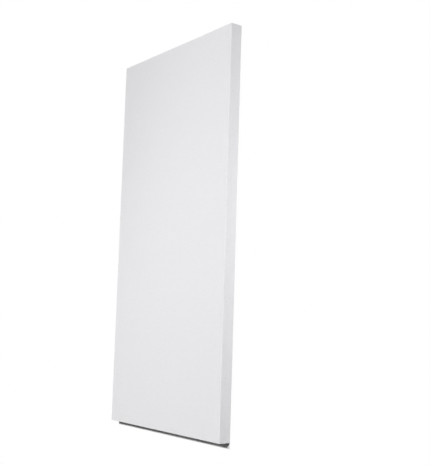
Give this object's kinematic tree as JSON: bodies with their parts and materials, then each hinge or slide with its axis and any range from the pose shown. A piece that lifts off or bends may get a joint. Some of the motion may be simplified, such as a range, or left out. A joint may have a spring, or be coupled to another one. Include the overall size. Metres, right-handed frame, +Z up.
{
  "type": "expanded polystyrene insulation board",
  "caption": "Plain white rigid foam insulation sheet with square cut edges, laid, bonded or butted edge to edge to insulate floors, walls and roofs.",
  "frame": {"origin": "centre of the face that the board lies on", "axes": "+X across the width, +Y along the length, +Z up through the thickness. The picture's upright board is laid on its back: the large face that shows there is the +Z face, its narrow long edge on the right is the +X edge, and its top end is the +Y end."},
  "size_m": [1.2, 2.4, 0.075],
  "materials": {
    "foam": "matt white fused beads, hot-wire cut on every face"
  },
  "bodies": {
    "root": {"board": "foam"}
  },
  "joints": []
}
